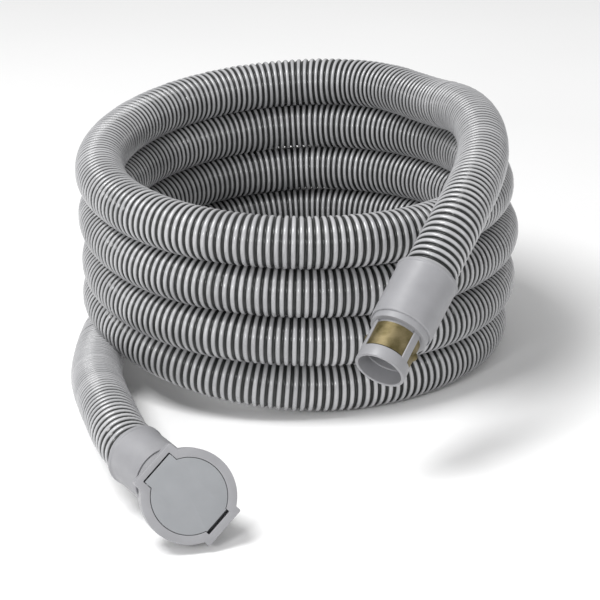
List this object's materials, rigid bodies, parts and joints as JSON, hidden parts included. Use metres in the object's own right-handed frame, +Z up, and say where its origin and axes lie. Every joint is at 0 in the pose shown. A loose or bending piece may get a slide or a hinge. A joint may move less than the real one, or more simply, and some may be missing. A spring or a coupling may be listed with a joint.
{
  "type": "coiled vacuum extension hose",
  "caption": "Ribbed silver-grey suction hose wound in a standing coil, with a swivelling plug cuff on one end and a swept inlet valve with a sprung flap door on the other.",
  "frame": {"origin": "centre of the bounding box at floor level", "axes": "+Z up; -Y towards the side where the inlet valve lies; +X across the coil, to the side of the plug"},
  "size_m": [0.36, 0.5919, 0.2035],
  "materials": {
    "hose_plastic": "glossy, silver-grey",
    "grey_moulding": "satin moulded",
    "door_moulding": "fine satin",
    "white_acetal": "smooth",
    "contact_brass": "dull rolled strip",
    "hinge_steel": "drawn wire",
    "seal_rubber": "matt"
  },
  "bodies": {
    "hose": {"hose_coil": "hose_plastic", "hose_plug_tail": "hose_plastic", "hose_valve_tail": "hose_plastic", "hose_cuff": "grey_moulding", "valve_bezel": "grey_moulding", "bezel_gasket": "seal_rubber", "valve_socket": "grey_moulding", "valve_elbow": "grey_moulding", "socket_seal": "seal_rubber", "flange_screws": "hinge_steel", "contact_leaves": "contact_brass", "valve_collar": "grey_moulding", "valve_cuff": "grey_moulding", "hinge_pin": "hinge_steel", "door_spring": "hinge_steel"},
    "plug": {"plug_sleeve": "grey_moulding", "thrust_washer": "white_acetal", "plug_neck": "grey_moulding", "plug_seal": "seal_rubber", "contact_band": "contact_brass"},
    "door": {"valve_door": "door_moulding", "door_gasket": "seal_rubber"}
  },
  "joints": [
    {"name": "plug_swivel", "type": "hinge", "parent": "hose", "child": "plug", "pos_m": [0.0945, -0.136, 0.1345], "axis": [-0.4617, -0.7002, -0.5446], "continuous": true},
    {"name": "door_hinge", "type": "hinge", "parent": "hose", "child": "door", "pos_m": [-0.09901, -0.27666, 0.05591], "axis": [-0.6944, -0.3578, -0.6243], "range_deg": [0, 90], "stiffness_Nm_per_rad": 0.01, "springref_deg": -28.65, "deforming": ["door_spring"]}
  ]
}
